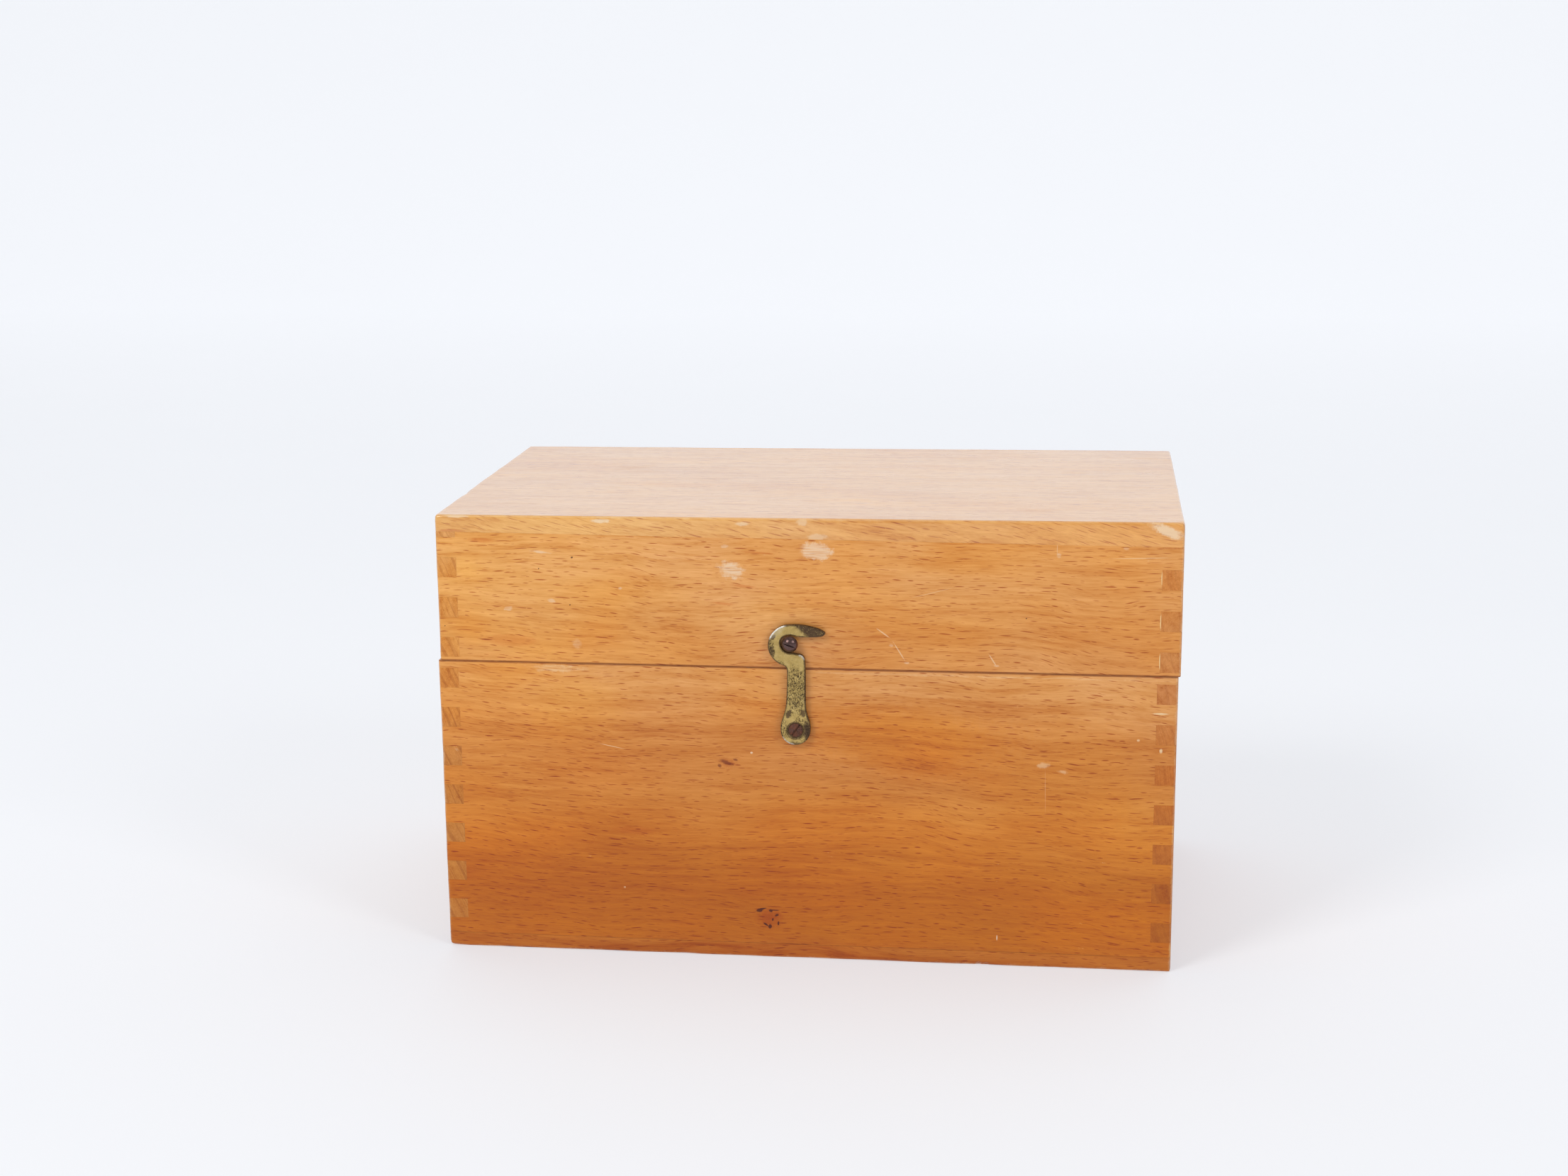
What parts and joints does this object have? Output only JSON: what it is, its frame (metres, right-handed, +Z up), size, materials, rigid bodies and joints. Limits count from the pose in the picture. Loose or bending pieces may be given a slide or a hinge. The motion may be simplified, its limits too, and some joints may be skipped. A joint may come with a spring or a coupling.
{
  "type": "hinged game piece box",
  "caption": "Finger-jointed wooden box for game pieces, with a lid on two back hinges and a swinging brass-plated hook latch on the front.",
  "frame": {"origin": "centre of the underside of the base", "axes": "+Z up, -Y out of the front with the hook, +Y towards the hinges, +X to the right when looking at the front"},
  "size_m": [0.1805, 0.1085, 0.1117],
  "materials": {
    "beech_front": "honey-orange beech under aged gloss varnish",
    "beech_back": "honey-orange beech under aged gloss varnish",
    "beech_side": "honey-orange beech under aged gloss varnish",
    "beech_bottom": "darker beech, varnished, worn at its edges",
    "beech_top": "honey-orange beech under glossy varnish",
    "plated_hinge": "worn brass plate over steel, spotted",
    "plated_screw": "worn brass plate over steel",
    "steel_pin": "dull steel wire with traces of plating",
    "plated_hook": "olive brass plate over steel, pitted through in many dark specks",
    "rusty_screw": "rusted steel",
    "bronzed_screw": "dark bronzed steel, polished by use"
  },
  "bodies": {
    "base": {"base_front_board": "beech_front", "base_back_board": "beech_back", "base_left_board": "beech_side", "base_right_board": "beech_side", "base_bottom_panel": "beech_bottom", "left_hinge_base_leaf": "plated_hinge", "right_hinge_base_leaf": "plated_hinge", "left_hinge_pin": "steel_pin", "right_hinge_pin": "steel_pin", "left_hinge_base_screws": "plated_screw", "right_hinge_base_screws": "plated_screw", "hook_pivot_screw": "rusty_screw"},
    "lid": {"lid_front_board": "beech_front", "lid_back_board": "beech_back", "lid_left_board": "beech_side", "lid_right_board": "beech_side", "lid_top_panel": "beech_top", "left_hinge_lid_leaf": "plated_hinge", "right_hinge_lid_leaf": "plated_hinge", "left_hinge_lid_screws": "plated_screw", "right_hinge_lid_screws": "plated_screw", "hook_catch_screw": "bronzed_screw"},
    "hook": {"hook_arm": "plated_hook"}
  },
  "joints": [
    {"name": "lid_hinge", "type": "hinge", "parent": "base", "child": "lid", "pos_m": [0, 0.0529, 0.07445], "axis": [-1, 0, 0], "range_deg": [0, 180]},
    {"name": "hook_swing", "type": "hinge", "parent": "base", "child": "hook", "pos_m": [-0.0014, -0.0518, 0.0592], "axis": [0, -1, 0], "range_deg": [0, 335]}
  ]
}
